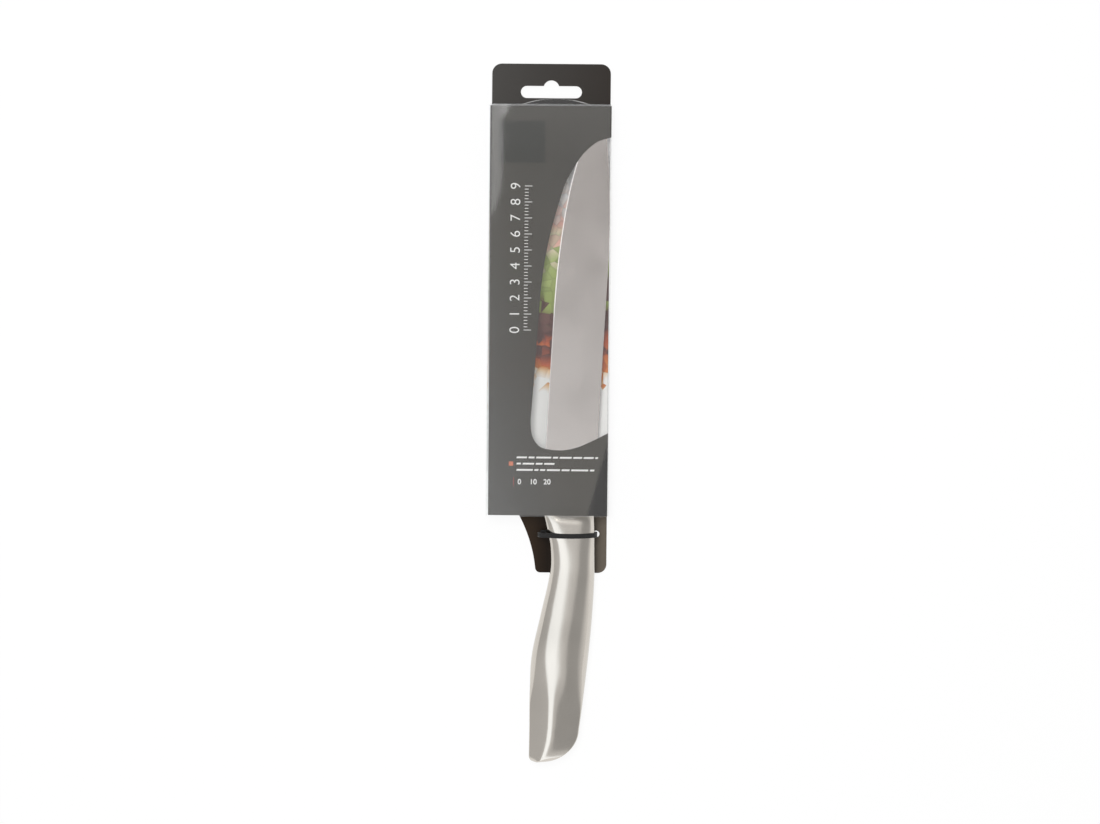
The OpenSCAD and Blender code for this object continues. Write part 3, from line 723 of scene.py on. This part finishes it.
# The print: a smoky grey ink behind the sleeve's front, with a clear window shaped after the blade.
# It lets a little of what is behind it through, and is darker in its lower right corner. Mirror rays
# pass it, so that the blade and the clear sheet don't show its underside.
smoke, tree = new_finish("smoky_ink")
shader = tree.nodes["Principled BSDF"]
shader.inputs["Roughness"].default_value = 0.6
shader.inputs["Specular IOR Level"].default_value = 0.1
shader.inputs["Alpha"].default_value = 0.88
place = own_place(tree)
clouds = noise(tree, place, 16.0, 2.0)
tone = ramp(tree, clouds, [(0.35, (0.0635, 0.058, 0.051)), (0.65, (0.0735, 0.067, 0.0585))])
print_slope = -0.27
corner_from, corner_full = 0.0337, 0.0357
slant = maths(tree, "MULTIPLY_ADD", coordinate(tree, place, "Y"), print_slope, coordinate(tree, place, "X"))
corner = span(tree, slant, corner_from, corner_full)
dark = (0.012, 0.010, 0.009, 1)
printed = blend(tree, corner, tone, dark)
tree.links.new(printed, shader.inputs["Base Color"])

window_w = 39.6
window_low, window_high = -20.0577, 138.393
window_marks = [
    (0, 1), (0.174, 0.986), (0.336, 0.953), (0.448, 0.915), (0.547, 0.872), (0.622, 0.825), (0.776, 0.685),
    (0.871, 0.545), (0.92, 0.385), (0.955, 0.25), (0.99, 0.13), (1, 0.09), (0.983, 0.05), (0.92, 0.02),
    (0.821, 0.005), (0.597, 0), (0.398, 0.01), (0.199, 0.032), (0, 0.057),
]
film_left_low, film_left_high = -29.9, -30.6
film_right_low, film_right_high = 30.3, 30.75
film_low, film_high = -53.1, 154.2


def on_curve(marks, i, t):
    """A smooth curve through the marks, at share t of the way from mark i to the next."""
    a, b, c, d = (Vector(marks[min(max(k, 0), len(marks) - 1)]) for k in (i - 1, i, i + 1, i + 2))
    return 0.5 * (2 * b + (c - a) * t + (2 * a - 5 * b + 4 * c - d) * t * t + (3 * b - a - 3 * c + d) * t**3)


window = [on_curve(window_marks, i, k / 6) for i in range(len(window_marks) - 1) for k in range(6)]
window.append(Vector(window_marks[-1]))
edge_x = 30.8
window = [(edge_x - p.x * window_w, window_low + p.y * (window_high - window_low)) for p in window]


def film_right(y):
    return film_right_low + (film_right_high - film_right_low) * (y - film_low) / (film_high - film_low)


window[0] = (film_right(window[0][1]), window[0][1])
window[-1] = (film_right(window[-1][1]), window[-1][1])


def flat_form(points, z, thickness):
    """A thin flat plate with this outline, its lower face at height z."""
    made = bmesh.new()
    ring = [made.verts.new((x * mm, y * mm, z * mm)) for x, y in points]
    plate = made.faces.new(ring)
    if plate.normal.z < 0:
        plate.normal_flip()
    raised = bmesh.ops.extrude_face_region(made, geom=[plate], use_keep_orig=True)["geom"]
    lifted = [g for g in raised if isinstance(g, bmesh.types.BMVert)]
    bmesh.ops.translate(made, vec=(0, 0, thickness * mm), verts=lifted)
    bmesh.ops.recalc_face_normals(made, faces=made.faces)
    return made


film_z, film_t = 19.64, 0.06
film_outline = (
    [(film_left_low, film_low), (film_right_low, film_low)] + window[::-1]
    + [(film_right_high, film_high), (film_left_high, film_high)]
)
film_form = flat_form(film_outline, film_z, film_t)
piece("smoke_film", film_form, smoke, "sleeve", ["front_print"]).visible_glossy = False

# The marks printed over the smoky grey: a plain darker square, a measuring scale with its numbers
# in white, an orange square beside three rows of short white rules, and a red bar beside three
# plain numbers.
mark_z = film_z + film_t
mark_t = 0.02


def ink(name, colour):
    made, tree = new_finish(name)
    shader = tree.nodes["Principled BSDF"]
    shader.inputs["Roughness"].default_value = 0.5
    shader.inputs["Specular IOR Level"].default_value = 0.2
    place = own_place(tree)
    dots = noise(tree, place, 1500.0, 2.0)
    low = tuple(c * 0.88 for c in colour)
    tree.links.new(ramp(tree, dots, [(0.3, low), (0.7, colour)]), shader.inputs["Base Color"])
    return made


def add_bar(made, x0, y0, x1, y1, slant=0.0):
    """Adds a flat bar between two corners, with its upper side shifted by slant."""
    bar = flat_form([(x0, y0), (x1, y0), (x1 + slant, y1), (x0 + slant, y1)], mark_z, mark_t)
    mesh = bpy.data.meshes.new("bar")
    bar.to_mesh(mesh)
    bar.free()
    made.from_mesh(mesh)
    bpy.data.meshes.remove(mesh)


def add_number(made, words, x, y, size, bold, turn=0.0):
    """Adds plain figures, centred on a place."""
    text = bpy.data.curves.new("figures", "FONT")
    text.body = words
    text.align_x = "CENTER"
    text.align_y = "CENTER"
    text.size = size * mm
    text.extrude = mark_t * mm / 2
    text.offset = bold * mm
    holder = bpy.data.objects.new("figures", text)
    bpy.context.collection.objects.link(holder)
    mesh = bpy.data.meshes.new_from_object(holder.evaluated_get(bpy.context.evaluated_depsgraph_get()))
    place = Matrix.Translation((x * mm, y * mm, (mark_z + mark_t / 2) * mm)) @ Matrix.Rotation(turn, 4, "Z")
    mesh.transform(place)
    made.from_mesh(mesh)
    bpy.data.objects.remove(holder)
    bpy.data.curves.remove(text)
    bpy.data.meshes.remove(mesh)


def mark(name, made, finish):
    """A mark on the print, which mirror rays pass as they pass the print."""
    piece(name, made, finish, "sleeve").visible_glossy = False


white_ink = ink("white_ink", (0.90, 0.89, 0.88))
square_corners = (-26.2, 125.3, -2.7, 146.5)
square_form = bmesh.new()
add_bar(square_form, *square_corners)
mark("plain_square", square_form, ink("dark_ink", (0.036, 0.035, 0.031)))

scale_form = bmesh.new()
scale_low, scale_step, scale_end = 40.6, 8.1, 9
numbers_x, number_size, number_bold = -17.2, 7.2, -0.03
ticks_x, long_tick_x, short_tick_x = -12.8, -9.0, -10.9
tick_half = 0.16
for k in range(scale_end + 1):
    number_y = scale_low + scale_step * k
    add_number(scale_form, str(k), numbers_x, number_y, number_size, number_bold, turn=math.pi / 2)
    for part in range(5 if k < scale_end else 1):
        y = scale_low + scale_step * (k + part / 5)
        tick_x = long_tick_x if part == 0 else short_tick_x
        add_bar(scale_form, ticks_x, y - tick_half, tick_x, y + tick_half)
mark("printed_scale", scale_form, white_ink)

rows_form = bmesh.new()
row_dashes = (
    (-23.7, (5.2, 3.0, 7.6, 2.6, 6.0, 4.4, 5.0, 1.4)),
    (-26.85, (2.2, 5.8, 3.4, 5.2)),
    (-30.0, (8.2, 2.0, 2.6, 6.6, 4.0, 8.6, 2.2)),
)
rows_x, dash_gap, dash_slant = -15.8, 0.85, 0.25
dash_below, dash_above = 0.55, 0.35
for y, dashes in row_dashes:
    x = rows_x
    for width in dashes:
        add_bar(rows_form, x, y - dash_below, x + width, y + dash_above, dash_slant)
        x += width + dash_gap
foot_numbers_x, foot_numbers_y, foot_number_step = -14.2, -36.2, 7.0
foot_number_size, foot_number_bold = 3.7, 0.07
for k in range(3):
    number_x = foot_numbers_x + foot_number_step * k
    add_number(rows_form, str(10 * k), number_x, foot_numbers_y, foot_number_size, foot_number_bold)
mark("printed_rows", rows_form, white_ink)

bullet_corners = (-19.6, -28.1, -17.4, -25.9)
bullet_form = bmesh.new()
add_bar(bullet_form, *bullet_corners)
mark("printed_bullet", bullet_form, ink("orange_ink", (0.62, 0.20, 0.11)))

bar_corners = (-17.3, -38.2, -16.95, -33.9)
bar_form = bmesh.new()
add_bar(bar_form, *bar_corners)
mark("printed_bar", bar_form, ink("red_ink", (0.36, 0.09, 0.08)))

# The lid: the same clear sheet, folded back over the sleeve's upper end from the front crease, and
# then up into an arched tongue that stands in front of the card's header. The tongue's sheet lets
# less through, as painted shade, and a painted highlight lies along the cut on both flanks of its arch.
lid_front, lid_back = 19.4351, 2.15
lid_half, lid_y = 30.5, 154.893
tongue_x, tongue_w, tongue_h = 2.5, 47, 5.6
tongue_r = (tongue_w**2 / 4 + tongue_h**2) / (2 * tongue_h)


def lid_point(z, x):
    return (x, lid_y, z)


lid_form = skin(steps(lid_front, lid_back + sheet_t, 6), steps(-lid_half, lid_half, 24), lid_point)
bmesh.ops.solidify(lid_form, geom=lid_form.faces[:], thickness=sheet_t * mm)


def tongue_point(s, x):
    rise = math.sqrt(max(tongue_r**2 - (x - tongue_x) ** 2, 0)) - (tongue_r - tongue_h)
    return (x, lid_y - sheet_t + (rise + sheet_t) * s, lid_back + sheet_t)


tongue_trim = 0.05
tongue_reach = tongue_w / 2 - tongue_trim
tongue_columns = steps(tongue_x - tongue_reach, tongue_x + tongue_reach, 40)
tongue_form = skin(steps(0, 1, 4), tongue_columns, tongue_point)
bmesh.ops.solidify(tongue_form, geom=tongue_form.faces[:], thickness=sheet_t * mm)
piece("lid_fold", lid_form, clear, "lid", ["lid_panel"], sharp=40)
shade_tinted_clear = clear.copy()
shade_tinted_clear.name = "shade_tinted_clear_plastic"
tree = shade_tinted_clear.node_tree
surface = next(n for n in tree.nodes if n.type == "OUTPUT_MATERIAL").inputs["Surface"]
sheet = surface.links[0].from_socket
shade_tint = next(n for n in tree.nodes if n.type == "BSDF_TRANSPARENT")
# Painted shade: the tongue's sheet lets only 80 per cent of the light through.
shade_tint.inputs["Color"].default_value = (0.80, 0.80, 0.80, 1)
arch_middle = (tongue_x * mm, (lid_y + tongue_h - tongue_r) * mm, 0)
place = own_place(tree)
flat = times(tree, place, (1, 1, 0))
from_middle = node(
    tree, "ShaderNodeVectorMath", {0: flat, 1: arch_middle}, operation="DISTANCE"
).outputs["Value"]
cut_from, cut_full = 0.5, 0.3
rim = span(tree, from_middle, (tongue_r - cut_from) * mm, (tongue_r - cut_full) * mm)
aside = maths(tree, "ABSOLUTE", maths(tree, "SUBTRACT", coordinate(tree, flat, "X"), tongue_x * mm))
aside = maths(tree, "MULTIPLY", aside, 1000 / tongue_w * 2)
flank = ramp(tree, aside, [(0.25, 0.1), (0.55, 0.75), (0.85, 0.45), (1.0, 0.1)])
highlight_share = maths(tree, "MULTIPLY", rim, flank)
# Painted highlight: a pale diffuse line along the arch's cut, strongest on its flanks.
painted_rim_highlight = node(tree, "ShaderNodeBsdfDiffuse", {"Color": (0.55, 0.54, 0.53, 1)})
tree.links.new(mix_shaders(tree, highlight_share, sheet, painted_rim_highlight.outputs[0]), surface)
piece("lid_arch", tongue_form, shade_tinted_clear, "lid", ["lid_tongue"], sharp=40)
